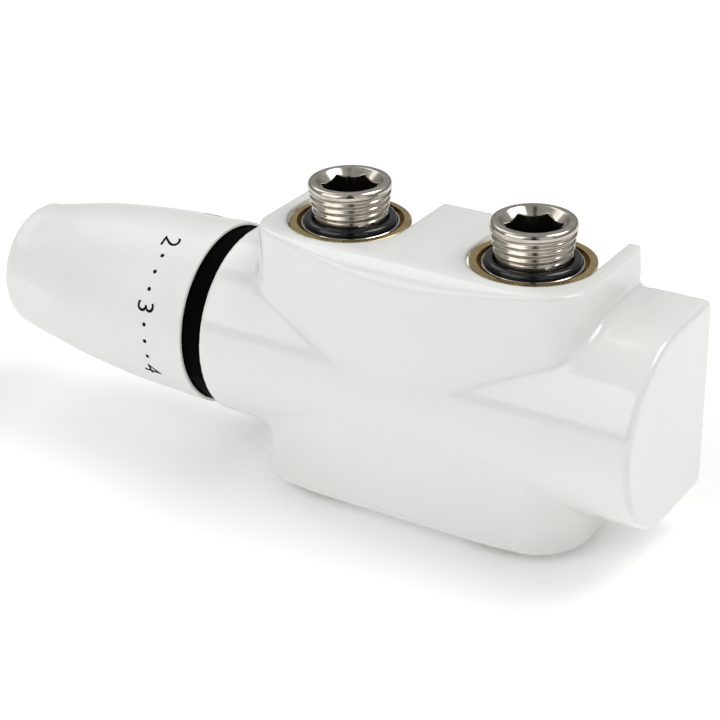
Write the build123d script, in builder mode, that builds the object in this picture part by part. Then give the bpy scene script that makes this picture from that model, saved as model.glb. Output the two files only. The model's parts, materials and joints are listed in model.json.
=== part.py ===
"""Twin radiator valve with a thermostatic head and a one-piece cover.

Millimetres. +Z is up, +X runs along the valve towards its closed end, -Y faces the room and
+Y the wall. The origin lies midway between the two radiator nipples, in the plane where the
valve meets the radiator.
"""
from build123d import *
import os

os.makedirs("parts", exist_ok=True)

# ---------------------------------------------------------------- driving dimensions
pipe_spacing = 50.0             # centre distance of a radiator's two bottom connections
side_x = pipe_spacing / 2       # nipples and pipe tails stand at X = -25 and X = +25
axis_height = -34.0             # height of the horizontal axis that head and inserts share

# standard threads, modelled as plain cylinders at their major radius
half_inch_radius = 20.7 / 2         # G1/2, nipple into the radiator
three_quarter_radius = 26.441 / 2   # G3/4, pipe tail for a compression fitting
head_thread_radius = 15.0           # M30 x 1.5, thermostatic head

# cover
wall = 2.2
back_y = 19.0
barrel_radius = 24.7
barrel_left = -55.4
barrel_right = 62.0
barrel_edge = 1.5
block_top = 0.6
block_bottom = -67.2
block_half_width = 45.6
upper_draft = 3.0
lower_draft = 1.45
front_y = -24.3
front_arc_radius = 152.0
upper_corner = 11.0
lower_corner = 15.8
top_front_edge = 9.0
bottom_front_edge = 6.3
top_slot_radius = 15.4
bottom_slot_radius = 17.0
end_slot_radius = 19.2

# valve block
socket_radius = 15.0
socket_depth = 18.0
column_radius = 12.5
column_bore = 7.5
tail_end = -70.0
tail_length = 12.0
tail_mouth_radius = 9.4         # cone that the pipe's compression fitting seals in
tail_mouth_depth = 7.0
boss_radius = 13.5
boss_end = 44.0
insert_bore = 10.0
insert_bore_end = 16.0
insert_mouth_radius = insert_bore + 0.5
insert_mouth_depth = 8.0
bridge_height = 13.0
bridge_depth = 12.0
bridge_corner = 2.0
merge = 2.0                     # how far the block's columns, tails, bosses and bridge run together
ring_groove_z = -6.0            # retaining ring, in a groove of the socket and one of the nipple
ring_groove_radius = 12.0
ring_groove_height = 1.3
snap_ring_height = 1.0
snap_ring_gap = 3.0

# nipples
nipple_top = 10.35
flange_radius = 12.2
flange_top = -0.25
flange_bottom = -3.0
counterbore_radius = 13.15
shank_radius = 11.0
shank_end = -17.0
hex_key_size = 12.0
hex_key_depth = 13.0
nipple_bore = 7.1
insert_spanner_size = 24.0
running_gap = 0.05              # radial clearance of the turning and sliding fits
free_gap = 0.3                  # clearance between moving parts that do not touch

# thermostatic head
rim_x = -61.5
head_end_x = -128.6
rim_radius = 24.0
handle_bore = 19.5
collar_radius = 22.8
cage_outer = 17.0
cage_inner = 15.0
cage_end = -97.5

# ---------------------------------------------------------------- shared planes and helpers
# local x runs along +X and local y along +Z, so a profile reads as (position, radius)
valve_plane = Plane(origin=(0, 0, axis_height), x_dir=(1, 0, 0), z_dir=(0, -1, 0))
valve_axis = Axis((0, 0, axis_height), (1, 0, 0))


def save(piece, name):
    """Label a finished piece and write its STEP file."""
    piece.part.label = name
    export_step(piece.part, f"parts/{name}.step")


def turned_along_valve(points):
    """A piece turned about the valve axis, from its (x, radius) outline."""
    with BuildPart() as piece:
        with BuildSketch(valve_plane):
            with BuildLine():
                Polyline(*points, close=True)
            make_face()
        revolve(axis=valve_axis)
    return piece


def turned_upright(x, points):
    """A piece turned about the upright axis at X = x, from its (radius, z) outline."""
    with BuildPart() as piece:
        with BuildSketch(Plane(origin=(x, 0, 0), x_dir=(1, 0, 0), z_dir=(0, -1, 0))):
            with BuildLine():
                Polyline(*points, close=True)
            make_face()
        revolve(axis=Axis((x, 0, 0), (0, 0, 1)))
    return piece


def o_ring_upright(x, z, centre_radius, section_radius):
    """A rubber ring lying flat at height z around the upright axis at X = x."""
    with BuildPart() as ring:
        with BuildSketch(Plane(origin=(x, 0, 0), x_dir=(1, 0, 0), z_dir=(0, -1, 0))):
            with Locations((centre_radius, z)):
                Circle(section_radius)
        revolve(axis=Axis((x, 0, 0), (0, 0, 1)))
    return ring


def o_ring_on_valve(x, centre_radius, section_radius):
    """A rubber ring around the valve axis at X = x."""
    with BuildPart() as ring:
        with BuildSketch(valve_plane):
            with Locations((x, centre_radius)):
                Circle(section_radius)
        revolve(axis=valve_axis)
    return ring


def coil_on_valve(x_start, length, coil_radius, wire_radius, turns):
    """A helical spring along the valve axis."""
    with BuildPart() as spring:
        with BuildLine() as path:
            Helix(
                pitch=length / turns, height=length, radius=coil_radius,
                center=(x_start, 0, axis_height), direction=(1, 0, 0),
            )
        with BuildSketch(Plane(origin=path.line @ 0, z_dir=path.line % 0)):
            Circle(wire_radius)
        sweep()
    return spring


# ---------------------------------------------------------------- cover
def cover_solid(inset):
    """The cover's outline as a solid, drawn in by inset on every side but the back."""
    reach = back_y if inset == 0 else back_y + 1
    radius = barrel_radius - inset
    with BuildPart() as barrel:
        with BuildSketch(Plane.YZ.offset(barrel_left + inset)):
            with Locations((0, axis_height)):
                Circle(radius)
                Rectangle(reach, 2 * radius, align=(Align.MIN, Align.CENTER))
            with Locations((reach, axis_height)):
                Rectangle(radius, 2 * radius, align=(Align.MIN, Align.CENTER), mode=Mode.SUBTRACT)
        extrude(amount=barrel_right - barrel_left - 2 * inset)
        if inset == 0:
            end_edges = barrel.faces().sort_by(Axis.X)[-1].edges().sort_by(Axis.Y)
            fillet(end_edges[:-1], barrel_edge)

    half_width = block_half_width - inset
    upper_height = block_top - axis_height
    lower_height = axis_height - block_bottom
    arc_radius = front_arc_radius - inset
    side_front_y = front_y + front_arc_radius - (arc_radius**2 - half_width**2) ** 0.5
    halves = []
    for direction, height, draft, corner in (
        (1, upper_height, upper_draft, upper_corner),
        (-1, lower_height, lower_draft, lower_corner),
    ):
        plan_plane = Plane((0, 0, axis_height), x_dir=(1, 0, 0), z_dir=(0, 0, direction))
        with BuildPart() as half:
            with BuildSketch(plan_plane) as plan:
                with BuildLine():
                    ThreePointArc(
                        (-half_width, direction * side_front_y),
                        (0, direction * (front_y + inset)),
                        (half_width, direction * side_front_y),
                    )
                    Polyline(
                        (half_width, direction * side_front_y),
                        (half_width, direction * (reach + 5)),
                        (-half_width, direction * (reach + 5)),
                        (-half_width, direction * side_front_y),
                    )
                make_face()
                fillet(plan.vertices().sort_by(Axis.Y, reverse=direction < 0)[:2], corner - inset)
            extrude(amount=height, taper=draft)
        halves.append(half)
    with BuildPart() as block:
        for half in halves:
            add(half.part)
        with BuildSketch(Plane.YZ) as side_view:
            with Locations((front_y + inset, block_bottom + inset)):
                Rectangle(
                    reach - front_y - inset, block_top - block_bottom - 2 * inset,
                    align=(Align.MIN, Align.MIN),
                )
            front_corners = side_view.vertices().group_by(Axis.X)[0].sort_by(Axis.Y)
            fillet(front_corners[-1], top_front_edge - inset)
            front_corners = side_view.vertices().group_by(Axis.X)[0].sort_by(Axis.Y)
            fillet(front_corners[0], bottom_front_edge - inset)
        extrude(amount=block_half_width + 5, both=True, mode=Mode.INTERSECT)

    with BuildPart() as outline:
        add(barrel.part)
        add(block.part)
    return outline


outer = cover_solid(0)
inner = cover_solid(wall)

with BuildPart() as cover:
    add(outer.part)
    add(inner.part, mode=Mode.SUBTRACT)
    # U-shaped slots, open to the wall, so that the cover slips on from the front
    with BuildSketch(Plane.XY.offset(block_top + 1)):
        with GridLocations(pipe_spacing, 1, 2, 1):
            Circle(top_slot_radius)
            Rectangle(2 * top_slot_radius, back_y + 1, align=(Align.CENTER, Align.MIN))
    extrude(amount=-(top_front_edge + wall), mode=Mode.SUBTRACT)
    with BuildSketch(Plane.XY.offset(block_bottom - 1)):
        with GridLocations(pipe_spacing, 1, 2, 1):
            Circle(bottom_slot_radius)
            Rectangle(2 * bottom_slot_radius, back_y + 1, align=(Align.CENTER, Align.MIN))
    extrude(amount=bottom_front_edge + wall, mode=Mode.SUBTRACT)
    with BuildSketch(Plane.YZ.offset(barrel_left - 1)):
        with Locations((0, axis_height)):
            Circle(end_slot_radius)
            Rectangle(back_y + 1, 2 * end_slot_radius, align=(Align.MIN, Align.CENTER))
    extrude(amount=wall + 2, mode=Mode.SUBTRACT)
save(cover, "cover")


# ---------------------------------------------------------------- valve block
boss_root = column_radius - merge
column_end = tail_end + tail_length - merge
with BuildPart() as valve_block:
    for x in (-side_x, side_x):
        with BuildSketch(Plane.XY.offset(-socket_depth)):
            with Locations((x, 0)):
                Circle(socket_radius)
        extrude(amount=socket_depth)
        with BuildSketch(Plane.XY.offset(column_end)):
            with Locations((x, 0)):
                Circle(column_radius)
        extrude(amount=-column_end - socket_depth)
        with BuildSketch(Plane.XY.offset(tail_end)):
            with Locations((x, 0)):
                Circle(three_quarter_radius)
        extrude(amount=tail_length)
    # the horizontal bosses that take the two inserts
    with BuildSketch(Plane.YZ.offset(-boss_end)):
        with Locations((0, axis_height)):
            Circle(boss_radius)
    extrude(amount=boss_end - side_x + boss_root)
    with BuildSketch(Plane.YZ.offset(boss_end)):
        with Locations((0, axis_height)):
            Circle(boss_radius)
    extrude(amount=-(boss_end - side_x + boss_root))
    # the bridge that holds the two columns at the radiator's pitch
    with BuildSketch(Plane.YZ):
        with Locations((0, axis_height)):
            RectangleRounded(bridge_depth, bridge_height, bridge_corner)
    extrude(amount=side_x - column_radius + merge, both=True)
    # sockets, columns and tails are bored from end to end for the hexagon key
    for x in (-side_x, side_x):
        with Locations((x, 0, 0)):
            Cylinder(
                counterbore_radius, -flange_bottom + free_gap,
                align=(Align.CENTER, Align.CENTER, Align.MAX), mode=Mode.SUBTRACT,
            )
            Cylinder(
                shank_radius + running_gap, -shank_end + free_gap,
                align=(Align.CENTER, Align.CENTER, Align.MAX), mode=Mode.SUBTRACT,
            )
            Cylinder(
                column_bore, -tail_end,
                align=(Align.CENTER, Align.CENTER, Align.MAX), mode=Mode.SUBTRACT,
            )
        # seat for the pipe's compression fitting
        with Locations((x, 0, tail_end)):
            Cone(
                tail_mouth_radius, column_bore, tail_mouth_depth,
                align=(Align.CENTER, Align.CENTER, Align.MIN), mode=Mode.SUBTRACT,
            )
    # groove for each nipple's retaining ring
    for x in (-side_x, side_x):
        with Locations((x, 0, ring_groove_z)):
            Cylinder(ring_groove_radius, ring_groove_height, mode=Mode.SUBTRACT)
    # blind bores for the inserts
    for sign in (-1, 1):
        with BuildSketch(Plane.YZ.offset(sign * boss_end)):
            with Locations((0, axis_height)):
                Circle(insert_bore)
        extrude(amount=-sign * (boss_end - insert_bore_end), mode=Mode.SUBTRACT)
        with BuildSketch(Plane.YZ.offset(sign * boss_end)):
            with Locations((0, axis_height)):
                Circle(insert_mouth_radius)
        extrude(amount=-sign * insert_mouth_depth, mode=Mode.SUBTRACT)
    socket_rim = valve_block.faces().sort_by(Axis.Z)[-1].edges().sort_by(SortBy.RADIUS)[-1:]
    chamfer(socket_rim, 0.4)
save(valve_block, "valve_block")


# ---------------------------------------------------------------- nipples
for name, x in (("supply", -side_x), ("return", side_x)):
    nipple_turning = turned_upright(x, [
        (nipple_bore, shank_end), (shank_radius - 0.6, shank_end), (shank_radius, shank_end + 0.6),
        (shank_radius, -13.6), (9.35, -13.6), (9.35, -11.4), (shank_radius, -11.4),
        (shank_radius, -6.7), (10.2, -6.7), (10.2, -5.3), (shank_radius, -5.3),
        (shank_radius, flange_bottom), (flange_radius, flange_bottom), (flange_radius, flange_top),
        (11.7, flange_top), (11.4, -1.25), (9.05, -1.25), (9.05, 1.9),
        (half_inch_radius, 3.0), (half_inch_radius, nipple_top - 0.9), (9.7, nipple_top),
        (nipple_bore, nipple_top),
    ])
    with BuildPart() as nipple:
        add(nipple_turning.part)
        # collar of metal that carries the hexagon socket
        with BuildSketch(Plane.XY.offset(nipple_top - hex_key_depth)):
            with Locations((x, 0)):
                Circle(nipple_bore)
                RegularPolygon(hex_key_size / 2, 6, major_radius=False, mode=Mode.SUBTRACT)
        extrude(amount=hex_key_depth)
        # countersink in the mouth of the hexagon
        with Locations((x, 0, nipple_top)):
            Cone(
                6.2, 7.7, 1.4,
                align=(Align.CENTER, Align.CENTER, Align.MAX), mode=Mode.SUBTRACT,
            )
    save(nipple, f"{name}_nipple")

    face_ring = o_ring_upright(x, z=0.0, centre_radius=10.3, section_radius=1.2)
    save(face_ring, f"{name}_face_oring")

    shank_ring = o_ring_upright(x, z=-12.5, centre_radius=10.2, section_radius=0.8)
    save(shank_ring, f"{name}_shank_oring")

    # split steel ring that keeps the nipple in its socket and lets it turn
    with BuildPart() as snap_ring:
        with BuildSketch(Plane.XY.offset(ring_groove_z - snap_ring_height / 2)):
            with Locations((x, 0)):
                Circle(ring_groove_radius - 0.15)
                Circle(shank_radius - 0.6, mode=Mode.SUBTRACT)
            with Locations((x, -shank_radius)):
                Rectangle(snap_ring_gap, 4.0, mode=Mode.SUBTRACT)
        extrude(amount=snap_ring_height)
    save(snap_ring, f"{name}_snap_ring")


# ---------------------------------------------------------------- thermostatic insert
seat_x = 25.5                   # distance of both valve seats from the middle
insert_hex_x = 44.0             # where the hexagon of either insert starts, from the middle
insert_body_blank = turned_along_valve([
    (-57.0, 6.0), (-57.0, head_thread_radius - 0.8), (-56.2, head_thread_radius),
    (-48.5, head_thread_radius), (-48.5, 11.0), (-44.0, 11.0), (-44.0, insert_bore + 0.45),
    (-41.6, insert_bore + 0.45), (-41.6, 9.0), (-40.0, 9.0), (-40.0, insert_bore + 0.45),
    (-36.2, insert_bore + 0.45), (-36.2, 6.5), (-49.5, 6.5), (-49.5, 1.55), (-52.0, 1.55),
    (-52.0, 6.0),
])
with BuildPart() as insert_body:
    add(insert_body_blank.part)
    # hexagon for the spanner
    with BuildSketch(Plane.YZ.offset(-insert_hex_x)):
        with Locations((0, axis_height)):
            RegularPolygon(insert_spanner_size / 2, 6, major_radius=False)
            Circle(9.5, mode=Mode.SUBTRACT)
    extrude(amount=-4.3)
save(insert_body, "insert_body")

insert_oring = o_ring_on_valve(-40.8, centre_radius=9.7, section_radius=0.7)
save(insert_oring, "insert_oring")


def seat_cage(sign):
    """Pressed-in brass cage with the valve seat in its middle wall and two side windows."""
    blank = turned_along_valve([
        (sign * 36.0, 1.7 if sign < 0 else 7.2), (sign * 36.0, 9.95), (sign * 16.6, 9.95),
        (sign * 16.6, 7.5), (sign * 23.5, 7.5), (sign * 23.5, 4.5), (sign * seat_x, 4.5),
        (sign * seat_x, 5.3), (sign * (seat_x - 0.6), 5.9), (sign * (seat_x - 0.6), 7.9),
        (sign * 34.5, 7.9), (sign * 34.5, 1.7 if sign < 0 else 7.2),
    ])
    with BuildPart() as cage:
        add(blank.part)
        # window up to the nipple, on the disc's side of the seat
        with Locations((sign * 30.2, 0, axis_height + 8)):
            Box(6.0, 11.0, 8.0, mode=Mode.SUBTRACT)
        # window down to the pipe tail, behind the seat
        with Locations((sign * 20.2, 0, axis_height - 8)):
            Box(5.4, 11.0, 8.0, mode=Mode.SUBTRACT)
    return cage


insert_cage = seat_cage(-1)
save(insert_cage, "insert_cage")

gland_nut_x = -61.0
gland_spanner_size = 11.0
gland_head_length = 4.0
gland_shank_radius = 5.95
gland_shank_length = 2.6
stem_radius = 1.5
with BuildPart() as gland_nut:
    with BuildSketch(Plane.YZ.offset(gland_nut_x)):
        with Locations((0, axis_height)):
            RegularPolygon(gland_spanner_size / 2, 6, major_radius=False)
    extrude(amount=gland_head_length)
    with BuildSketch(Plane.YZ.offset(gland_nut_x + gland_head_length)):
        with Locations((0, axis_height)):
            Circle(gland_shank_radius)
    extrude(amount=gland_shank_length)
    with BuildSketch(Plane.YZ.offset(gland_nut_x)):
        with Locations((0, axis_height)):
            Circle(stem_radius + running_gap)
    extrude(amount=gland_head_length + gland_shank_length, mode=Mode.SUBTRACT)
save(gland_nut, "gland_nut")

gland_oring = o_ring_on_valve(-53.2, centre_radius=2.75, section_radius=1.15)
save(gland_oring, "gland_oring")

# polished pin with the collar that its spring pushes on
valve_stem = turned_along_valve([
    (-64.0, 0), (-64.0, stem_radius - 0.3), (-63.7, stem_radius), (-46.6, stem_radius),
    (-46.6, 4.4), (-45.8, 4.4), (-45.8, stem_radius), (-29.6, stem_radius), (-29.6, 0),
])
save(valve_stem, "valve_stem")

return_spring = coil_on_valve(-45.3, length=8.6, coil_radius=3.6, wire_radius=0.4, turns=5)
save(return_spring, "return_spring")

disc_holder = turned_along_valve([
    (-33.0, 1.52), (-33.0, 4.0), (-31.4, 4.0), (-31.4, 7.0), (-27.9, 7.0), (-27.9, 6.2),
    (-29.4, 6.2), (-29.4, 0), (-29.58, 0), (-29.58, 1.52),
])
save(disc_holder, "disc_holder")

disc_seal = turned_along_valve([(-29.38, 0), (-29.38, 6.15), (-27.0, 6.15), (-27.0, 0)])
save(disc_seal, "disc_seal")


# ---------------------------------------------------------------- lockshield insert
lockshield_blank = turned_along_valve([
    (53.0, 5.5), (53.0, 8.0), (48.0, 8.0), (48.0, 11.0), (44.0, 11.0),
    (44.0, insert_bore + 0.45), (41.6, insert_bore + 0.45), (41.6, 9.0), (40.0, 9.0),
    (40.0, insert_bore + 0.45), (36.2, insert_bore + 0.45), (36.2, 7.2), (44.5, 7.2),
    (44.5, 4.05), (49.5, 4.05), (49.5, 5.5),
])
chamber_x = 36.2                # the chamber that the cone is drawn back into
chamber_length = 8.3
chamber_radius = 7.3
cone_flat_width = 10.0          # width across the cone's two flats
with BuildPart() as lockshield_body:
    add(lockshield_blank.part)
    with BuildSketch(Plane.YZ.offset(insert_hex_x)):
        with Locations((0, axis_height)):
            RegularPolygon(insert_spanner_size / 2, 6, major_radius=False)
            Circle(9.5, mode=Mode.SUBTRACT)
    extrude(amount=4.0)
    # two flats in the chamber keep the cone from turning
    with BuildSketch(Plane.YZ.offset(chamber_x)):
        with Locations((0, axis_height)):
            Circle(chamber_radius)
            Rectangle(16, cone_flat_width + 2 * free_gap, mode=Mode.SUBTRACT)
    extrude(amount=chamber_length)
save(lockshield_body, "lockshield_body")

lockshield_oring = o_ring_on_valve(40.8, centre_radius=9.7, section_radius=0.7)
save(lockshield_oring, "lockshield_oring")

lockshield_cage = seat_cage(1)
save(lockshield_cage, "lockshield_cage")

spindle_thread_x = 33.0
spindle_collar_x = 42.2
spindle_collar_length = 2.0
spindle_shank_x = spindle_collar_x + spindle_collar_length
spindle_shank_length = 8.0
spindle_shank_radius = 4.0
spindle_groove_x = 46.2
adjusting_key_size = 5.0
adjusting_key_depth = 4.0
with BuildPart() as lockshield_spindle:
    with BuildSketch(Plane.YZ.offset(spindle_thread_x)):
        with Locations((0, axis_height)):
            Circle(3.0)
    extrude(amount=10.0)
    with BuildSketch(Plane.YZ.offset(spindle_collar_x)):
        with Locations((0, axis_height)):
            Circle(4.6)
    extrude(amount=spindle_collar_length)
    with BuildSketch(Plane.YZ.offset(spindle_shank_x)):
        with Locations((0, axis_height)):
            Circle(spindle_shank_radius)
    extrude(amount=spindle_shank_length)
    # groove for the sealing ring and socket for the adjusting key
    with BuildSketch(Plane.YZ.offset(spindle_groove_x)):
        with Locations((0, axis_height)):
            Circle(spindle_shank_radius + 0.2)
            Circle(2.9, mode=Mode.SUBTRACT)
    extrude(amount=1.6, mode=Mode.SUBTRACT)
    with BuildSketch(Plane.YZ.offset(spindle_shank_x + spindle_shank_length)):
        with Locations((0, axis_height)):
            RegularPolygon(adjusting_key_size / 2, 6, major_radius=False)
    extrude(amount=-adjusting_key_depth, mode=Mode.SUBTRACT)
save(lockshield_spindle, "lockshield_spindle")

spindle_oring = o_ring_on_valve(47.0, centre_radius=3.45, section_radius=0.55)
save(spindle_oring, "spindle_oring")

lockshield_cone_blank = turned_along_valve([
    (28.5, 0), (28.5, 4.6), (29.4, 4.6), (29.4, 5.6), (30.6, 5.6), (30.6, 4.6), (31.0, 4.6),
    (31.0, 6.8), (39.5, 6.8), (39.5, 3.05), (31.4, 3.05), (31.4, 0),
])
with BuildPart() as lockshield_cone:
    add(lockshield_cone_blank.part)
    with BuildSketch(Plane.YZ.offset(28.0)):
        with Locations((0, axis_height)):
            Rectangle(20, cone_flat_width)
    extrude(amount=12.0, mode=Mode.INTERSECT)
save(lockshield_cone, "lockshield_cone")

cone_seal = turned_along_valve([(28.6, 4.65), (28.6, 6.6), (29.35, 6.6), (29.35, 4.65)])
save(cone_seal, "cone_seal")

cap_x = 48.2
cap_length = 9.0
cap_spanner_size = 19.0
cap_end_wall = 2.0
with BuildPart() as lockshield_cap:
    with BuildSketch(Plane.YZ.offset(cap_x)):
        with Locations((0, axis_height)):
            RegularPolygon(cap_spanner_size / 2, 6, major_radius=False)
    extrude(amount=cap_length)
    with BuildSketch(Plane.YZ.offset(cap_x)):
        with Locations((0, axis_height)):
            Circle(8.05)
    extrude(amount=cap_length - cap_end_wall, mode=Mode.SUBTRACT)
    fillet(lockshield_cap.faces().sort_by(Axis.X)[-1].edges(), 0.8)
save(lockshield_cap, "lockshield_cap")


# ---------------------------------------------------------------- head: fixed parts
nut_x = -61.9
nut_length = 13.4
nut_radius = 18.6
nut_lip = 1.8                   # inner lip that holds the base against the insert
flute_radius = 1.3
flute_count = 24
with BuildPart() as union_nut:
    with BuildSketch(Plane.YZ.offset(nut_x)):
        with Locations((0, axis_height)):
            Circle(nut_radius)
            Circle(13.6, mode=Mode.SUBTRACT)
    extrude(amount=nut_length)
    with BuildSketch(Plane.YZ.offset(nut_x + nut_lip)):
        with Locations((0, axis_height)):
            Circle(head_thread_radius + running_gap)
    extrude(amount=nut_length, mode=Mode.SUBTRACT)
    # grip flutes, stopped by a plain rim at the head's end
    with BuildSketch(Plane.YZ.offset(nut_x + 1.0)):
        with Locations((0, axis_height)):
            with PolarLocations(nut_radius + 0.7, flute_count):
                Circle(flute_radius)
    extrude(amount=nut_length, mode=Mode.SUBTRACT)
save(union_nut, "union_nut")

base_blank = turned_along_valve([
    (-57.2, 12.0), (-57.2, 14.6), (-60.0, 14.6), (-60.0, 13.3), (-63.0, 13.3), (-63.0, 21.0),
    (-65.0, 21.0), (-65.0, cage_outer), (cage_end, cage_outer), (cage_end, cage_inner),
    (-66.0, cage_inner), (-66.0, 12.0),
])
slot_x = -93.0
slot_length = 24.0
lug_count = 3
lug_width = 7.4
with BuildPart() as head_base:
    add(base_blank.part)
    # slots that guide the sensor carrier's lugs
    with BuildSketch(Plane(origin=(slot_x, 0, axis_height), x_dir=(0, 1, 0), z_dir=(1, 0, 0))):
        with PolarLocations(cage_outer - 1, lug_count):
            Rectangle(6, lug_width + 2 * free_gap)
    extrude(amount=slot_length, mode=Mode.SUBTRACT)
    # groove for the ring that keeps the handle on
    with BuildSketch(Plane.YZ.offset(cage_end + 0.9)):
        with Locations((0, axis_height)):
            Circle(cage_outer + 1)
            Circle(cage_outer - 0.7, mode=Mode.SUBTRACT)
    extrude(amount=1.2, mode=Mode.SUBTRACT)
save(head_base, "head_base")

head_collar = turned_along_valve([
    (-56.0, 20.9), (-56.0, collar_radius - 0.4), (-56.4, collar_radius), (-65.0, collar_radius),
    (-65.0, 21.1), (-57.0, 21.1), (-57.0, 20.9),
])
save(head_collar, "head_collar")

with BuildPart() as handle_snap_ring:
    with BuildSketch(Plane.YZ.offset(cage_end + 1.0)):
        with Locations((0, axis_height)):
            Circle(cage_outer + 1.3)
            Circle(cage_outer - 0.6, mode=Mode.SUBTRACT)
        with Locations((0, axis_height + cage_outer + 0.5)):
            Rectangle(4.0, 5.0, mode=Mode.SUBTRACT)
    extrude(amount=1.0)
save(handle_snap_ring, "handle_snap_ring")


# ---------------------------------------------------------------- head: turning handle
with BuildPart() as head_handle:
    with BuildSketch(valve_plane):
        with BuildLine():
            Polyline(
                (-65.4, handle_bore), (-65.4, 23.2), (rim_x, 23.2), (rim_x, 23.5),
                (rim_x - 0.6, rim_radius), (-66.0, rim_radius), (-68.0, 23.75),
            )
            Spline(
                (-68.0, 23.75), (-84.0, 23.1), (-104.0, 20.9), (-123.5, 17.3),
                tangents=((-1, 0), (-1, -0.24)),
            )
            Spline(
                (-123.5, 17.3), (-127.0, 13.6), (head_end_x, 0),
                tangents=((-1, -0.24), (0, -1)),
            )
            Polyline((head_end_x, 0), (-126.4, 0), (-125.4, 11.0))
            Spline(
                (-125.4, 11.0), (-120.0, 16.0), (-108.0, 18.3), (-98.0, 19.5),
                tangents=((0.2, 1), (1, 0.1)),
            )
            Polyline(
                (-98.0, 19.5), (-95.2, 19.5), (-95.2, 17.2), (-93.6, 17.2),
                (-93.6, handle_bore), (-65.4, handle_bore),
            )
        make_face()
    revolve(axis=valve_axis)
save(head_handle, "head_handle")


# ---------------------------------------------------------------- head: sensor, sliding
plate_x = -82.0
carrier_end = -121.0
capsule_front = -88.0
capsule_back = -114.0
carrier_radius = 13.0
carrier_bore = 12.1
pin_radius = 3.0
with BuildPart() as sensor_carrier:
    with BuildSketch(Plane.YZ.offset(carrier_end)):
        with Locations((0, axis_height)):
            Circle(carrier_radius)
            Circle(carrier_bore, mode=Mode.SUBTRACT)
    extrude(amount=plate_x - carrier_end)
    with BuildSketch(Plane.YZ.offset(plate_x)):
        with Locations((0, axis_height)):
            Circle(carrier_radius)
            Circle(pin_radius + 0.1, mode=Mode.SUBTRACT)
    extrude(amount=2.0)
    # threaded lugs that reach through the cage into the handle's thread
    with BuildSketch(Plane(origin=(plate_x - 7, 0, axis_height), x_dir=(0, 1, 0), z_dir=(1, 0, 0))):
        with PolarLocations(cage_outer - 1, lug_count):
            Rectangle(6.8, lug_width)
        Circle(handle_bore - free_gap, mode=Mode.INTERSECT)
        Circle(carrier_radius - 0.5, mode=Mode.SUBTRACT)
    extrude(amount=9.0)
save(sensor_carrier, "sensor_carrier")

sensor_capsule = turned_along_valve([
    (capsule_front, 3.5), (capsule_front, 10.8), (capsule_front - 1, 11.8),
    (capsule_back + 1, 11.8), (capsule_back, 10.8), (capsule_back, 0), (-93.0, 0), (-93.0, 3.5),
])
save(sensor_capsule, "sensor_capsule")

push_pin = turned_along_valve([
    (-64.2, 0), (-64.2, pin_radius), (-82.6, pin_radius), (-82.6, 5.0), (-84.0, 5.0),
    (-84.0, pin_radius), (-92.5, pin_radius), (-92.5, 0),
])
save(push_pin, "push_pin")

overtravel_spring = coil_on_valve(
    capsule_back - 6.2, length=5.4, coil_radius=9.0, wire_radius=0.6, turns=2.5)
save(overtravel_spring, "overtravel_spring")

carrier_cap = turned_along_valve([
    (carrier_end, 0), (carrier_end, 12.05), (carrier_end - 2, 11.6), (carrier_end - 2, 0),
])
save(carrier_cap, "carrier_cap")
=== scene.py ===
"""Looks for a twin radiator valve with a thermostatic head and a one-piece cover.

Everything is in metres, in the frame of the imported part: +X runs along the valve away from the
head, +Z up to the radiator, -Y to the room. Lengths written in millimetres are multiplied by MM.
"""

import json
import math

import bmesh
import bpy
import numpy as np
from mathutils import Matrix, Vector


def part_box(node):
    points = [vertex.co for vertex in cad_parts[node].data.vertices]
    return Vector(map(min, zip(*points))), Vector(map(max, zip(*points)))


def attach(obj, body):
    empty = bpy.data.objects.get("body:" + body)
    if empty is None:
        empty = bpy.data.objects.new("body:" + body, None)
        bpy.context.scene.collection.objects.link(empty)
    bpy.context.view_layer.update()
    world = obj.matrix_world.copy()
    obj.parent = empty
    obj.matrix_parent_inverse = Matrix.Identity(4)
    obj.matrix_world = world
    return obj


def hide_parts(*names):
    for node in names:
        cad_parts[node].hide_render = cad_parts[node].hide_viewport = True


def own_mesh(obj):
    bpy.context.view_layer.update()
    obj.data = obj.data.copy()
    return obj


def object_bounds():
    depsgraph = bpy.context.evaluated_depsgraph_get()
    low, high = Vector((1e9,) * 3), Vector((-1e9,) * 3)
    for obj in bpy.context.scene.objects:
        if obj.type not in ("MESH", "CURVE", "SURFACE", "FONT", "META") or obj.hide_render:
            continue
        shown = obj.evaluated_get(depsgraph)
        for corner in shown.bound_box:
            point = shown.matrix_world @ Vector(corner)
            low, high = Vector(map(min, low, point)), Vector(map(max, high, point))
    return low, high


MM = 0.001
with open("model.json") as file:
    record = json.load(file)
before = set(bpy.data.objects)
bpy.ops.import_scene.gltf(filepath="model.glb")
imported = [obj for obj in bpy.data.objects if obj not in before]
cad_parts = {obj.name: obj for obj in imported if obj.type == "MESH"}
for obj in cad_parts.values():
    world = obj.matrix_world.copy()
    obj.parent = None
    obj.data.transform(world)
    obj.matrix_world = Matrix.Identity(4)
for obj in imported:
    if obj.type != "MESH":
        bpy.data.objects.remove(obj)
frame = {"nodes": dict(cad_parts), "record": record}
cad_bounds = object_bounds()
nodes = frame["nodes"]

# ---------------------------------------------------------------- places read from the frame
handle_low, handle_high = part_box("head_handle")
VALVE_AXIS_Z = (handle_low.z + handle_high.z) / 2
HANDLE_END_X = handle_low.x
scene = bpy.context.scene


# ---------------------------------------------------------------- materials
NOISE_RANGE = (0.3, 0.7)        # the part of 0 to 1 that a noise texture mostly fills


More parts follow.
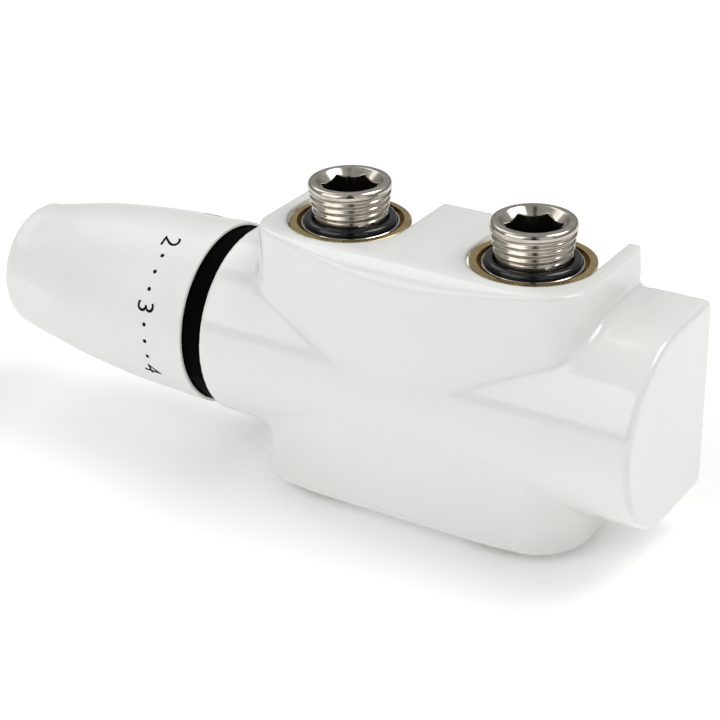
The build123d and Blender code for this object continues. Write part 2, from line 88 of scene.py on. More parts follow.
class Shader:
    """A procedural material with short calls for the nodes that these finishes share."""

    def __init__(self, name, **sockets):
        self.material = bpy.data.materials.new(name)
        self.material.use_nodes = True
        self.tree = self.material.node_tree
        self.surface = self.tree.nodes["Principled BSDF"]
        for socket, value in sockets.items():
            self.surface.inputs[socket.replace("_", " ")].default_value = value
        self.coordinates = self.tree.nodes.new("ShaderNodeTexCoord").outputs["Object"]

    def noise(self, scale, detail, stretch=None):
        """Noise with `scale` features a metre, or drawn out by a per-axis stretch."""
        source = self.coordinates
        if stretch:
            mapping = self.tree.nodes.new("ShaderNodeMapping")
            mapping.inputs["Scale"].default_value = stretch
            self.tree.links.new(source, mapping.inputs["Vector"])
            source = mapping.outputs["Vector"]
        noise = self.tree.nodes.new("ShaderNodeTexNoise")
        noise.inputs["Scale"].default_value = scale
        noise.inputs["Detail"].default_value = detail
        self.tree.links.new(source, noise.inputs["Vector"])
        return noise.outputs["Fac"]

    def ramp(self, factor, low, high):
        """Turn a noise into colours that run from low to high."""
        ramp = self.tree.nodes.new("ShaderNodeValToRGB")
        first, last = ramp.color_ramp.elements
        first.position, last.position = NOISE_RANGE
        first.color, last.color = (*low, 1), (*high, 1)
        self.tree.links.new(factor, ramp.inputs["Fac"])
        return ramp.outputs["Color"]

    def spread(self, factor, low, high, over):
        """Turn a factor into numbers that run from low to high over a range of the factor."""
        spread = self.tree.nodes.new("ShaderNodeMapRange")
        spread.inputs["From Min"].default_value = over[0]
        spread.inputs["From Max"].default_value = over[1]
        spread.inputs["To Min"].default_value = low
        spread.inputs["To Max"].default_value = high
        self.tree.links.new(factor, spread.inputs["Value"])
        return spread.outputs["Result"]

    def feed(self, output, socket):
        """Link an output to a socket of the surface's shader."""
        self.tree.links.new(output, self.surface.inputs[socket])

    def bump(self, height, distance):
        """Raise the surface by a height that runs from 0 to `distance`."""
        bump = self.tree.nodes.new("ShaderNodeBump")
        bump.inputs["Distance"].default_value = distance
        self.tree.links.new(height, bump.inputs["Height"])
        self.feed(bump.outputs["Normal"], "Normal")


# noise scales, in features a metre
CLOUD_SCALE = 45                # slow change of a plastic's colour
GLOSS_SCALE = 160               # change of its gloss
TARNISH_SCALE = 220             # change of a metal's colour
WIPE_SCALE = 480                # change of its gloss


def plastic(name, low, high, roughness, grain_scale, grain_depth, coat=0.0, **sockets):
    """A moulded plastic: cloudy colour, uneven gloss and a fine moulded grain."""
    shader = Shader(name, IOR=1.5, Coat_Weight=coat, Coat_Roughness=0.06, **sockets)
    shader.feed(shader.ramp(shader.noise(CLOUD_SCALE, 3), low, high), "Base Color")
    shader.feed(
        shader.spread(
            shader.noise(GLOSS_SCALE, 3), roughness - 0.04, roughness + 0.05, over=NOISE_RANGE),
        "Roughness")
    shader.bump(shader.noise(grain_scale, 2), grain_depth)
    return shader.material


def metal(name, low, high, roughness, line_stretch, line_depth):
    """A machined or drawn metal: slight tarnish, and fine lines drawn out across `line_stretch`."""
    shader = Shader(name, Metallic=1.0)
    shader.feed(shader.ramp(shader.noise(TARNISH_SCALE, 4), low, high), "Base Color")
    shader.feed(
        shader.spread(
            shader.noise(WIPE_SCALE, 4), roughness - 0.05, roughness + 0.08, over=NOISE_RANGE),
        "Roughness")
    shader.bump(shader.noise(1.0, 3, line_stretch), line_depth)
    return shader.material


# tool marks: many features a metre across the lines, few along them
ACROSS_Z = (120, 120, 6500)
ACROSS_X = (6500, 120, 120)
NICKEL = {"low": (0.47, 0.43, 0.37), "high": (0.68, 0.64, 0.57), "roughness": 0.13}
BRASS_LOW = (0.49, 0.365, 0.155)
BRASS_HIGH = (0.60, 0.465, 0.225)
finishes = {
    "white_cover": plastic(
        "gloss_white_abs", (0.775, 0.785, 0.755), (0.80, 0.808, 0.78), roughness=0.16,
        grain_scale=900, grain_depth=0.004 * MM, coat=0.5),
    "white_handle": plastic(
        "satin_white_abs", (0.775, 0.782, 0.752), (0.80, 0.806, 0.778), roughness=0.34,
        grain_scale=900, grain_depth=0.002 * MM),
    "black_plastic": plastic(
        "black_polyamide", (0.001, 0.001, 0.001), (0.002, 0.002, 0.002), roughness=0.50,
        grain_scale=1800, grain_depth=0.02 * MM, Specular_IOR_Level=0.01),
    "grey_plastic": plastic(
        "grey_acetal", (0.42, 0.43, 0.42), (0.50, 0.51, 0.50), roughness=0.38,
        grain_scale=1400, grain_depth=0.02 * MM),
    "nickel": metal("nickel_plate", **NICKEL, line_stretch=ACROSS_Z, line_depth=0.006 * MM),
    "raw_brass": metal(
        "machined_brass", BRASS_LOW, BRASS_HIGH, roughness=0.27,
        line_stretch=ACROSS_Z, line_depth=0.012 * MM),
    "spring_steel": metal(
        "drawn_steel", (0.42, 0.42, 0.43), (0.58, 0.58, 0.59), roughness=0.24,
        line_stretch=ACROSS_X, line_depth=0.008 * MM),
    "capsule_metal": metal(
        "drawn_copper_alloy", (0.60, 0.36, 0.22), (0.74, 0.50, 0.34), roughness=0.28,
        line_stretch=ACROSS_X, line_depth=0.008 * MM),
    "rubber": plastic(
        "black_rubber", (0.004, 0.004, 0.004), (0.008, 0.008, 0.008), roughness=0.14,
        grain_scale=900, grain_depth=0.004 * MM),
}
valve_nickel = metal("nickel_plate_turned", **NICKEL, line_stretch=ACROSS_X, line_depth=0.006 * MM)
# painted shade: a dark metal for the deep hexagon socket and the bore, where shade falls inside the
# nipple
socket_painted_shade = metal(
    "hexagon_socket_painted_shade", (0.05, 0.045, 0.04), (0.11, 0.10, 0.09), roughness=0.35,
    line_stretch=ACROSS_Z, line_depth=0.010 * MM)
valve_brass = metal(
    "brass_turned", BRASS_LOW, BRASS_HIGH, roughness=0.26,
    line_stretch=ACROSS_X, line_depth=0.010 * MM)
ink = plastic(
    "scale_ink", (0.003, 0.003, 0.003), (0.006, 0.006, 0.006), roughness=0.45,
    grain_scale=2600, grain_depth=0.004 * MM, Specular_IOR_Level=0.05)

# pieces turned on a lathe about the valve's axis, whose tool marks run round X
TURNED_ABOUT_X = (
    "insert_body", "insert_cage", "gland_nut", "disc_holder", "lockshield_body", "lockshield_cage",
    "lockshield_spindle", "lockshield_cone", "union_nut",
)
for part in frame["record"]["subparts"]:
    slot = part["material_slot"]
    finish = finishes[slot]
    if part["node"] in TURNED_ABOUT_X:
        finish = valve_nickel if slot == "nickel" else valve_brass
    mesh = nodes[part["node"]].data
    mesh.materials.clear()
    mesh.materials.append(finish)


# ---------------------------------------------------------------- mesh helpers
def new_piece(name, vertices, faces, material, smooth_angle=None):
    """Make an object of a vertex list and a face list, smooth shaded up to an angle in degrees."""
    mesh = bpy.data.meshes.new(name)
    mesh.from_pydata([tuple(v) for v in vertices], [], [tuple(f) for f in faces])
    shape = bmesh.new()
    shape.from_mesh(mesh)
    bmesh.ops.recalc_face_normals(shape, faces=shape.faces)
    shape.to_mesh(mesh)
    shape.free()
    mesh.materials.append(material)
    piece = bpy.data.objects.new(name, mesh)
    scene.collection.objects.link(piece)
    mesh.shade_smooth()
    if smooth_angle:
        mesh.set_sharp_from_angle(angle=math.radians(smooth_angle))
    return piece


def ring_grid(rows, columns):
    """Quads of a tube that closes on itself both round its rings and from last ring to first."""
    faces = []
    for row in range(rows):
        below = row * columns
        above = (row + 1) % rows * columns
        for column in range(columns):
            beside = (column + 1) % columns
            faces.append((below + column, below + beside, above + beside, above + column))
    return faces


def spaced(outline, step):
    """Points along an outline, no further apart than step, with every corner kept."""
    points = []
    for start, end in zip(outline, outline[1:]):
        start, end = np.array(start, float), np.array(end, float)
        count = max(1, math.ceil(np.linalg.norm(end - start) / step))
        points += [start + (end - start) * k / count for k in range(count)]
    points.append(np.array(outline[-1], float))
    return points


# ---------------------------------------------------------------- cover
COVER_VOXEL = 0.5 * MM
SMOOTHING_WEIGHT = 0.5          # how far a vertex goes to its neighbours' mean in one round
SOFTENING_ROUNDS = 6            # rounds over the whole cover, which break its sharp edges
CREASE_ROUNDS = 40              # further rounds where the surface turns inward
CREASE_SPREAD = 12              # how many voxels such a crease's smoothing reaches
CREASE_CURVATURE = 120.0        # curvature, in 1/m, above which the surface counts as a crease


def smoothed(places, edges, rounds, weight):
    """Laplacian smoothing of vertex places, with a weight for each vertex."""
    count = len(places)
    degree = np.bincount(edges.ravel(), minlength=count)[:, None].clip(1)
    for _ in range(rounds):
        sums = neighbour_sums(places, edges)
        places = places + weight[:, None] * (sums / degree - places)
    return places


def neighbour_sums(values, edges):
    """The sum of a vertex quantity over each vertex's neighbours."""
    count = len(values)
    sums = np.empty_like(values)
    for axis in range(values.shape[1]):
        sums[:, axis] = (
            np.bincount(edges[:, 0], values[edges[:, 1], axis], count)
            + np.bincount(edges[:, 1], values[edges[:, 0], axis], count)
        )
    return sums


def vertex_places(mesh):
    """The places of a mesh's vertices as an array of rows."""
    places = np.empty(len(mesh.vertices) * 3)
    mesh.vertices.foreach_get("co", places)
    return places.reshape(-1, 3)


def remeshed(source):
    """The source's mesh built anew of even voxels, so that smoothing acts evenly on it."""
    rough = bpy.data.objects.new("cover_rough", source.data.copy())
    scene.collection.objects.link(rough)
    remesh = rough.modifiers.new("remesh", "REMESH")
    remesh.mode = "VOXEL"
    remesh.voxel_size = COVER_VOXEL
    evaluated = rough.evaluated_get(bpy.context.evaluated_depsgraph_get())
    mesh = bpy.data.meshes.new_from_object(evaluated)
    bpy.data.objects.remove(rough)
    return mesh


def crease_weight(mesh, places, edges):
    """1 in the cover's inward creases, falling off to 0 some voxels away from them."""
    normals = np.empty(len(places) * 3)
    mesh.vertices.foreach_get("normal", normals)
    degree = np.bincount(edges.ravel(), minlength=len(places))[:, None].clip(1)
    lift = neighbour_sums(places, edges) / degree - places
    # on a grid of squares, a surface's curvature is 4 times its lift over the square's area
    curvature = 4 * (lift * normals.reshape(-1, 3)).sum(1) / COVER_VOXEL ** 2
    crease = (curvature > CREASE_CURVATURE).astype(float)[:, None]
    for _ in range(CREASE_SPREAD):
        crease = np.maximum(crease, neighbour_sums(crease, edges) / degree)
    return np.clip(crease[:, 0] * 2, 0, 1)


def soften_cover(source):
    """A copy of the cover whose edges are broken and whose inward creases are moulded soft."""
    mesh = remeshed(source)
    edges = np.empty(len(mesh.edges) * 2, int)
    mesh.edges.foreach_get("vertices", edges)
    edges = edges.reshape(-1, 2)
    places = vertex_places(mesh)
    places = smoothed(places, edges, SOFTENING_ROUNDS, np.full(len(places), SMOOTHING_WEIGHT))
    mesh.vertices.foreach_set("co", places.ravel())
    mesh.update()

    weight = crease_weight(mesh, places, edges) * SMOOTHING_WEIGHT
    places = smoothed(places, edges, CREASE_ROUNDS, weight)
    mesh.vertices.foreach_set("co", places.ravel())
    mesh.materials.clear()
    mesh.materials.append(finishes["white_cover"])
    mesh.shade_smooth()
    shell = bpy.data.objects.new("cover_shell", mesh)
    scene.collection.objects.link(shell)
    return shell


cover_shell = soften_cover(nodes["cover"])
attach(cover_shell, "cover")
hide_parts("cover")


# ---------------------------------------------------------------- nipples
THREAD_PITCH = 1.814            # G1/2
THREAD_DEPTH = 0.62
THREAD_MAJOR = 10.35
THREAD_TAPER = 0.17             # radius lost for each millimetre below the crown
THREAD_START = 1.9              # height where the thread begins, above the undercut
RUN_OUT_SLOPE = 1.2             # radius gained for each millimetre as it begins
CROWN_HEIGHT = 1.9              # unthreaded ring at the top
CROWN_EDGE = 0.3                # height over which the thread passes into it
LEAD_IN_START = 0.6             # height in the crown where its rounding starts
LEAD_IN_DROP = 1.05             # radius lost by that rounding
UNDERCUT_RADIUS = 9.05          # between thread and flange
RUN_OUT_RADIUS = 9.1            # where the thread begins
HEX_APOTHEM = 6.0
SOCKET_DEPTH = 13.0
MOUTH_RADIUS = 8.1
MOUTH_DEPTH = 1.9
BORE_RADIUS = 7.1
NIPPLE_COLUMNS = 180
RINGS_PER_TURN = 16             # of the thread
MOUTH_RINGS = 14
nipple_angles = np.arange(NIPPLE_COLUMNS) * 2 * math.pi / NIPPLE_COLUMNS


def hexagon_radius(angles, apothem):
    """Distance from the centre to the side of a hexagon, for each angle."""
    sector = math.pi / 3
    return apothem / np.cos((angles + sector / 2) % sector - sector / 2)


def thread_radius(height, angles, top):
    """Radius of a rounded helical thread, cut back by a cone at either end."""
    turn = (height / THREAD_PITCH - angles / (2 * math.pi)) % 1.0
    tooth = np.abs(2 * turn - 1)                        # 1 at a crest, 0 in a root
    tooth = tooth * tooth * (3 - 2 * tooth)
    below_crown = max(0.0, top - CROWN_HEIGHT - height)
    radius = THREAD_MAJOR - THREAD_TAPER * below_crown - THREAD_DEPTH * (1 - tooth)
    if height > top - CROWN_HEIGHT + CROWN_EDGE:
        radius = np.full(len(angles), THREAD_MAJOR)
    rounding_start = top - CROWN_HEIGHT + LEAD_IN_START
    rise = max(0.0, height - rounding_start) / (CROWN_HEIGHT - LEAD_IN_START)
    lead_in = THREAD_MAJOR - LEAD_IN_DROP * (1 - math.sqrt(max(0.0, 1 - rise * rise)))
    run_out = RUN_OUT_RADIUS + RUN_OUT_SLOPE * max(0.0, height - THREAD_START)
    return np.minimum(radius, min(lead_in, run_out))


# outside below the thread as (radius, height): shank with its two grooves, flange, undercut
NIPPLE_OUTSIDE = (
    (BORE_RADIUS, -17.0), (10.4, -17.0), (11.0, -16.4), (11.0, -13.65), (10.95, -13.6),
    (9.35, -13.6), (9.35, -11.4), (10.95, -11.4), (11.0, -11.35), (11.0, -6.7), (10.2, -6.7),
    (10.2, -5.3), (11.0, -5.3), (11.0, -3.0), (12.1, -3.0), (12.2, -2.9), (12.2, -0.4),
    (12.05, -0.25), (11.7, -0.25), (11.55, -0.4), (11.4, -1.25), (UNDERCUT_RADIUS, -1.25),
    (UNDERCUT_RADIUS, THREAD_START),
)
# face round the hexagon's mouth as (radius, depth below the top)
NIPPLE_FACE = ((9.35, 0.02), (9.1, 0.0), (8.5, 0.0), (MOUTH_RADIUS + 0.12, 0.02))
MOUTH_EDGE = 0.08               # depth below the top where the mouth's cone starts
# further rings of the hexagon and the bore, so that no face is long and thin
HEX_RING_DEPTHS = (4.0, 7.0, 10.0, SOCKET_DEPTH)
BORE_RING_HEIGHTS = (-6.0, -11.0, -16.0)


def nipple_rings(top):
    """Rings of the nipple's surface in millimetres: up the outside, then down the bore."""
    rings = []
    for radius, height in spaced(NIPPLE_OUTSIDE, step=1.0):
        rings.append((np.full(NIPPLE_COLUMNS, radius), height))
    for height in np.arange(THREAD_START + 0.1, top - 0.05, THREAD_PITCH / RINGS_PER_TURN):
        rings.append((thread_radius(height, nipple_angles, top), height))
    for radius, drop in NIPPLE_FACE:
        rings.append((np.full(NIPPLE_COLUMNS, radius), top - drop))
    hexagon = hexagon_radius(nipple_angles, HEX_APOTHEM)
    mouth_slope = (MOUTH_RADIUS - HEX_APOTHEM) / (MOUTH_DEPTH - MOUTH_EDGE)
    for drop in np.linspace(MOUTH_EDGE, MOUTH_DEPTH, MOUTH_RINGS):
        cone = MOUTH_RADIUS - (drop - MOUTH_EDGE) * mouth_slope
        rings.append((np.maximum(hexagon, cone), top - drop))
    for drop in HEX_RING_DEPTHS:
        rings.append((hexagon, top - drop))
    rings.append((np.full(NIPPLE_COLUMNS, BORE_RADIUS), top - SOCKET_DEPTH))
    for height in BORE_RING_HEIGHTS:
        rings.append((np.full(NIPPLE_COLUMNS, BORE_RADIUS), height))
    return rings


def make_nipple(node, body):
    """Replace a nipple of the CAD by one with a cut thread and a countersunk hexagon socket."""
    low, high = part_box(node)
    centre_x, centre_y = (low.x + high.x) / 2, (low.y + high.y) / 2
    rings = nipple_rings(high.z / MM)
    vertices = []
    for radii, height in rings:
        for radius, angle in zip(radii * MM, nipple_angles):
            x = centre_x + radius * math.cos(angle)
            y = centre_y + radius * math.sin(angle)
            vertices.append((x, y, height * MM))
    faces = ring_grid(len(rings), NIPPLE_COLUMNS)
    piece = new_piece(node + "_threaded", vertices, faces, finishes["nickel"], smooth_angle=32)
    piece.data.materials.append(socket_painted_shade)
    # the socket and the bore are darkened as painted shade: everything under the mouth, and no
    # wider than the bore
    # faces below this height and inside this radius get the painted shade
    shade_top = high.z - (MOUTH_DEPTH + 0.01) * MM
    shade_radius = BORE_RADIUS * 1.02 * MM
    for face in piece.data.polygons:
        from_axis = math.hypot(face.center.x - centre_x, face.center.y - centre_y)
        if from_axis < shade_radius and face.center.z < shade_top:
            face.material_index = 1
    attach(piece, body)
    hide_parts(node)


make_nipple("supply_nipple", "supply_swivel")
make_nipple("return_nipple", "return_swivel")


return_spring_coil = bpy.data.objects.new("return_spring_coil", nodes["return_spring"].data.copy())
scene.collection.objects.link(return_spring_coil)
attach(return_spring_coil, "valve")
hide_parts("return_spring")
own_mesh(return_spring_coil)


# ---------------------------------------------------------------- turning handle
GRIP_COUNT = 6                  # shallow scoops round the far end
GRIP_PERIOD = 2 * math.pi / GRIP_COUNT
RIDGE_ANGLE = math.radians(25.3)        # of the ridge between two scoops
GRIP_START = 27.6               # distance of a scoop's shallow end from the handle's far end
GRIP_SLOPE = 0.050              # depth gained for each millimetre towards the far end
GRIP_CURVE = 0.028              # how fast a scoop's floor rises sideways, in 1/mm
GRIP_FADE = (2.0, 9.5)          # distances between which the scoops run out into the rounded end
GRIP_BLEND = 0.03               # softness of a scoop's edge
HANDLE_WALL = 1.3               # least thickness under a scoop
HANDLE_COLUMNS = 360
THIN_RIM_START = 63.0           # beyond this distance the rim is thinner than HANDLE_WALL
CENTRE_RADIUS = 0.5             # rings smaller than this give way to one point on the axis
# outer and inner outline as (distance from the far end, radius)
HANDLE_OUTER = (
    (0.0, 0.0), (0.05, 2.0), (0.22, 5.0), (0.62, 9.0), (1.6, 13.6), (2.4, 15.35), (3.4, 16.55),
    (5.1, 17.3), (8.6, 17.98), (14.6, 19.08), (24.6, 20.9), (34.6, 22.16), (44.6, 23.1),
    (53.0, 23.55), (60.6, 23.78), (62.6, 23.98), (66.5, 24.0), (66.95, 23.9), (67.1, 23.55),
)
HANDLE_INNER = (
    (67.1, 23.2), (63.2, 23.2), (63.2, 19.5), (35.0, 19.5), (35.0, 17.2), (33.4, 17.2),
    (33.4, 19.5), (30.6, 19.5), (20.6, 18.3), (14.6, 17.3), (8.6, 16.0), (5.5, 14.2),
    (3.2, 11.0), (2.2, 6.0), (2.2, 0.0),
)
handle_angles = np.arange(HANDLE_COLUMNS) * 2 * math.pi / HANDLE_COLUMNS


def curve_through(points, step):
    """Catmull-Rom curve through points, sampled no coarser than step."""
    places = [np.array(p, float) for p in points]
    places = [2 * places[0] - places[1]] + places + [2 * places[-1] - places[-2]]
    samples = []
    for before, start, end, after in zip(places, places[1:], places[2:], places[3:]):
        count = max(2, math.ceil(np.linalg.norm(end - start) / step))
        chord = np.linalg.norm(end - start)
        leave = (end - before) * chord / np.linalg.norm(end - before)
        arrive = (after - start) * chord / np.linalg.norm(after - start)
        for k in range(count):
            t = k / count
            samples.append(
                (2 * t ** 3 - 3 * t ** 2 + 1) * start + (t ** 3 - 2 * t ** 2 + t) * leave
                + (3 * t ** 2 - 2 * t ** 3) * end + (t ** 3 - t ** 2) * arrive)
    samples.append(places[-2])
    return samples


def scooped(distance, radius, angles):
    """Radius of the handle with its scoops, which deepen towards the far end."""
    share = min(1.0, max(0.0, (distance - GRIP_FADE[0]) / (GRIP_FADE[1] - GRIP_FADE[0])))
    depth = GRIP_SLOPE * max(0.0, GRIP_START - distance) * share * share * (3 - 2 * share)
    sideways = (angles - RIDGE_ANGLE) % GRIP_PERIOD - GRIP_PERIOD / 2
    floor = radius - depth + GRIP_CURVE * (sideways * radius) ** 2
    gap = floor - radius
    return radius + (gap - np.sqrt(gap * gap + GRIP_BLEND ** 2)) / 2


def handle_point(distance, radius, angle):
    """A place on the handle, its angle counted from the room side upwards."""
    return (
        HANDLE_END_X + distance * MM,
        -radius * MM * math.cos(angle),
        VALVE_AXIS_Z + radius * MM * math.sin(angle),
    )


outer_rings = [
    (distance, radius) for distance, radius in curve_through(HANDLE_OUTER, step=0.6)
    if radius > CENTRE_RADIUS]
inner_rings = [
    (distance, radius) for distance, radius in spaced(HANDLE_INNER, step=1.2)
    if radius > CENTRE_RADIUS]
handle_vertices = []
for distance, radius in outer_rings:
    for angle, scooped_radius in zip(handle_angles, scooped(distance, radius, handle_angles)):
        handle_vertices.append(handle_point(distance, scooped_radius, angle))
outer_distance, outer_radius = np.array(outer_rings).T
for distance, radius in inner_rings:
    skin = scooped(distance, np.interp(distance, outer_distance, outer_radius), handle_angles)
    for angle, limit in zip(handle_angles, skin - HANDLE_WALL):
        inner_radius = radius if distance > THIN_RIM_START else min(radius, limit)
        handle_vertices.append(handle_point(distance, inner_radius, angle))
ring_count = len(outer_rings) + len(inner_rings)
handle_faces = ring_grid(ring_count, HANDLE_COLUMNS)[:-HANDLE_COLUMNS]
outer_centre = len(handle_vertices)
handle_vertices.append(handle_point(0.0, 0.0, 0.0))
inner_centre = len(handle_vertices)
handle_vertices.append(handle_point(HANDLE_INNER[-1][0], 0.0, 0.0))
last_ring = (ring_count - 1) * HANDLE_COLUMNS
for column in range(HANDLE_COLUMNS):
    beside = (column + 1) % HANDLE_COLUMNS
    handle_faces.append((outer_centre, beside, column))
    handle_faces.append((inner_centre, last_ring + column, last_ring + beside))
handle_grip = new_piece(
    "handle_grip", handle_vertices, handle_faces, finishes["white_handle"], smooth_angle=40)
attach(handle_grip, "handle")
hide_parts("head_handle")


# ---------------------------------------------------------------- printed scale
DIGIT_HEIGHT = 5.2
DIGIT_STRIP = 0.4               # width of the strips that a digit bends in
SCALE_DISTANCE = 55.6           # the scale's line, from the handle's far end
THREE_ANGLE = math.radians(19.9)        # where the digit 3 stands at rest
STEP_ANGLE = math.radians(45.0)         # from digit to digit
DOTS_BETWEEN = 3
DOT_RADIUS = 0.55
DOT_SIDES = 24
INK_TOP = 0.03                  # how far the print stands proud of the handle
INK_ROOT = -0.10                # how far it reaches into it
PRINTED_DIGITS = "12345"
DOTS_AFTER = "23"               # digits that dots follow


def print_on_handle(points, angle):
    """Wrap flat points round the handle: x runs down and round it, y along it to the cover."""
    wrapped = []
    for x, y, height in points:
        distance = SCALE_DISTANCE + y
        radius = float(np.interp(distance, outer_distance, outer_radius))
        wrapped.append(handle_point(distance, radius + height, angle - x / radius))
    return wrapped


def digit_slab(character):
    """A thin slab in the shape of a digit, centred, cut into strips so that it can be bent."""
    text = bpy.data.curves.new("digit", "FONT")
    text.body = character
    text.extrude = 0.01         # any thickness: the heights are set below
    text.resolution_u = 5
    holder = bpy.data.objects.new("digit", text)
    scene.collection.objects.link(holder)
    evaluated = holder.evaluated_get(bpy.context.evaluated_depsgraph_get())
    mesh = bpy.data.meshes.new_from_object(evaluated)
    bpy.data.objects.remove(holder)
    shape = bmesh.new()
    shape.from_mesh(mesh)
    bmesh.ops.remove_doubles(shape, verts=shape.verts, dist=1e-5)
    low = Vector(min(v.co[axis] for v in shape.verts) for axis in range(3))
    high = Vector(max(v.co[axis] for v in shape.verts) for axis in range(3))
    scale = DIGIT_HEIGHT / (high.y - low.y)
    for vertex in shape.verts:
        top_side = vertex.co.z > 0
        vertex.co = (vertex.co - (low + high) / 2) * scale
        vertex.co.z = INK_TOP if top_side else INK_ROOT
    for cut in np.arange(-5, 6) * DIGIT_STRIP:
        bmesh.ops.bisect_plane(
            shape, geom=shape.verts[:] + shape.edges[:] + shape.faces[:],
            plane_co=(cut, 0, 0), plane_no=(1, 0, 0))
    points = [tuple(v.co) for v in shape.verts]
    shape.verts.index_update()
    faces = [tuple(v.index for v in face.verts) for face in shape.faces]
    shape.free()
    return points, faces


def dot_slab():
    """A thin round slab."""
    points = []
    for height in (INK_ROOT, INK_TOP):
        for k in range(DOT_SIDES):
            turn = 2 * math.pi * k / DOT_SIDES
            points.append((DOT_RADIUS * math.cos(turn), DOT_RADIUS * math.sin(turn), height))
    faces = [tuple(range(DOT_SIDES - 1, -1, -1)), tuple(range(DOT_SIDES, 2 * DOT_SIDES))]
    for k in range(DOT_SIDES):
        beside = (k + 1) % DOT_SIDES
        faces.append((k, beside, DOT_SIDES + beside, DOT_SIDES + k))
    return points, faces


marks = []
for character in PRINTED_DIGITS:
    digit_angle = THREE_ANGLE - (int(character) - 3) * STEP_ANGLE
    marks.append((digit_slab(character), digit_angle))
    if character in DOTS_AFTER:
        for k in range(1, DOTS_BETWEEN + 1):
            marks.append((dot_slab(), digit_angle - STEP_ANGLE * k / (DOTS_BETWEEN + 1)))
scale_vertices, scale_faces = [], []
for (points, faces), angle in marks:
    first = len(scale_vertices)
    scale_vertices += print_on_handle(points, angle)
    scale_faces += [tuple(first + index for index in face) for face in faces]
printed_scale = new_piece("printed_scale", scale_vertices, scale_faces, ink, smooth_angle=30)
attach(printed_scale, "handle")


# ---------------------------------------------------------------- camera
# fitted to the photograph
FOCAL_PIXELS = 1937.9
FRAME_PIXELS = 720
SENSOR = 36.0
AZIMUTH = math.radians(32.49)
ELEVATION = math.radians(26.95)
ROLL = math.radians(-1.15)
DISTANCE = 489.06 * MM
TARGET = Vector((-23.10, 0.0, -38.20)) * MM


def towards_viewer(level, height):
    """A vector that leads a way towards the viewer's side and a way up."""
    return Vector((math.sin(AZIMUTH) * level, -math.cos(AZIMUTH) * level, height))


back = towards_viewer(math.cos(ELEVATION), math.sin(ELEVATION))
level = Vector((0, 0, 1)).cross(back).normalized()
upright = back.cross(level)
right = math.cos(ROLL) * level + math.sin(ROLL) * upright
up = -math.sin(ROLL) * level + math.cos(ROLL) * upright
camera_data = bpy.data.cameras.new("camera")
camera_data.sensor_width = SENSOR
camera_data.lens = FOCAL_PIXELS / FRAME_PIXELS * SENSOR
camera_data.clip_start = 0.01
camera = bpy.data.objects.new("camera", camera_data)
turned = Matrix((right, up, back)).transposed().to_4x4()
camera.matrix_world = Matrix.Translation(TARGET + back * DISTANCE) @ turned
scene.collection.objects.link(camera)
scene.camera = camera
scene.view_settings.view_transform = "Standard"


# ---------------------------------------------------------------- floor and light
FLOOR_HALF = 20.0
FLOOR_GLOW_NEAR = 0.17          # the floor's own light, which keeps it pale
FLOOR_GLOW_FAR = 0.75           # the same where the lamps don't reach
FLOOR_GLOW_RANGE = (0.5, 1.6)   # distances from the valve between which it rises
CARD_DISTANCE = 0.9
SKY_STRENGTH = 0.42
SKY_LOW = (0.02, 0.30)          # height in the sky, from 0 at the horizon, and the grey there
SKY_HIGH = (0.45, 1.0)
floor_z = cad_bounds[0][2] - 0.05 * MM
floor_shader = Shader("studio_floor", Roughness=0.9, Emission_Color=(1.0, 1.0, 1.0, 1.0))
from_valve = floor_shader.tree.nodes.new("ShaderNodeVectorMath")
from_valve.operation = "LENGTH"
floor_shader.tree.links.new(floor_shader.coordinates, from_valve.inputs[0])
floor_shader.feed(
    floor_shader.spread(
        from_valve.outputs["Value"], FLOOR_GLOW_NEAR, FLOOR_GLOW_FAR, over=FLOOR_GLOW_RANGE),
    "Emission Strength")
floor_shader.feed(
    floor_shader.ramp(floor_shader.noise(6, 2), (0.93, 0.93, 0.93), (0.95, 0.95, 0.95)),
    "Base Color")
floor = new_piece(
    "floor",
    [(-FLOOR_HALF, -FLOOR_HALF, floor_z), (FLOOR_HALF, -FLOOR_HALF, floor_z),
     (FLOOR_HALF, FLOOR_HALF, floor_z), (-FLOOR_HALF, FLOOR_HALF, floor_z)],
    [(0, 1, 2, 3)], floor_shader.material)


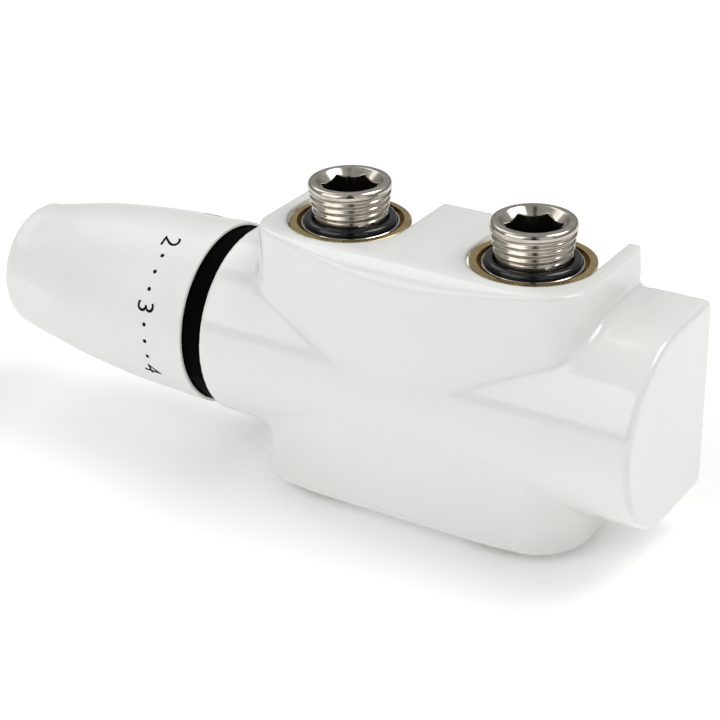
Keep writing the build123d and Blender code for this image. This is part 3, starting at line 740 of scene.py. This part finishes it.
def aim(thing, place):
    """Put a light or a card at a place, facing the valve."""
    thing.location = place
    thing.rotation_euler = (TARGET - Vector(place)).to_track_quat("-Z", "Y").to_euler()


def soft_light(name, place, size, power):
    """A large lamp that faces the valve."""
    light = bpy.data.lights.new(name, "AREA")
    light.shape = "RECTANGLE"
    light.size, light.size_y = size
    light.energy = power
    lamp = bpy.data.objects.new(name, light)
    scene.collection.objects.link(lamp)
    aim(lamp, place)


def dark_card(name, place, size):
    """A black card that only reflections see, which gives bright metal its contrast."""
    half_width, half_height = size[0] / 2, size[1] / 2
    card = new_piece(
        name,
        [(-half_width, -half_height, 0), (half_width, -half_height, 0),
         (half_width, half_height, 0), (-half_width, half_height, 0)],
        [(0, 1, 2, 3)], finishes["black_plastic"])
    aim(card, place)
    card.visible_camera = False
    card.visible_diffuse = False
    card.visible_shadow = False
    card.visible_transmission = False


soft_light("key", place=(-0.55, -1.15, 0.75), size=(1.3, 1.2), power=7.5)
soft_light("fill", place=(1.25, -0.75, 0.55), size=(0.9, 1.0), power=1.2)
soft_light("top_left", place=(-0.95, 0.25, 1.15), size=(0.9, 0.9), power=3.4)
soft_light("top_right", place=(0.72, 0.5, 1.25), size=(0.9, 0.9), power=11.3)
overhead = towards_viewer(level=0.45, height=0.89)
dark_card("card_behind_camera", place=TARGET + back * CARD_DISTANCE, size=(0.26, 0.6))
dark_card("card_overhead", place=TARGET + overhead * CARD_DISTANCE, size=(0.13, 0.45))

world = bpy.data.worlds.new("studio")
scene.world = world
world.use_nodes = True
world_nodes = world.node_tree.nodes
world_links = world.node_tree.links
sky = world_nodes["Background"]
sky_place = world_nodes.new("ShaderNodeTexCoord")
split = world_nodes.new("ShaderNodeSeparateXYZ")
glow = world_nodes.new("ShaderNodeValToRGB")
world_links.new(sky_place.outputs["Generated"], split.inputs["Vector"])
world_links.new(split.outputs["Z"], glow.inputs["Fac"])
world_links.new(glow.outputs["Color"], sky.inputs["Color"])
for element, (height, grey) in zip(glow.color_ramp.elements, (SKY_LOW, SKY_HIGH)):
    element.position = height
    element.color = (grey, grey, grey, 1)
sky.inputs["Strength"].default_value = SKY_STRENGTH
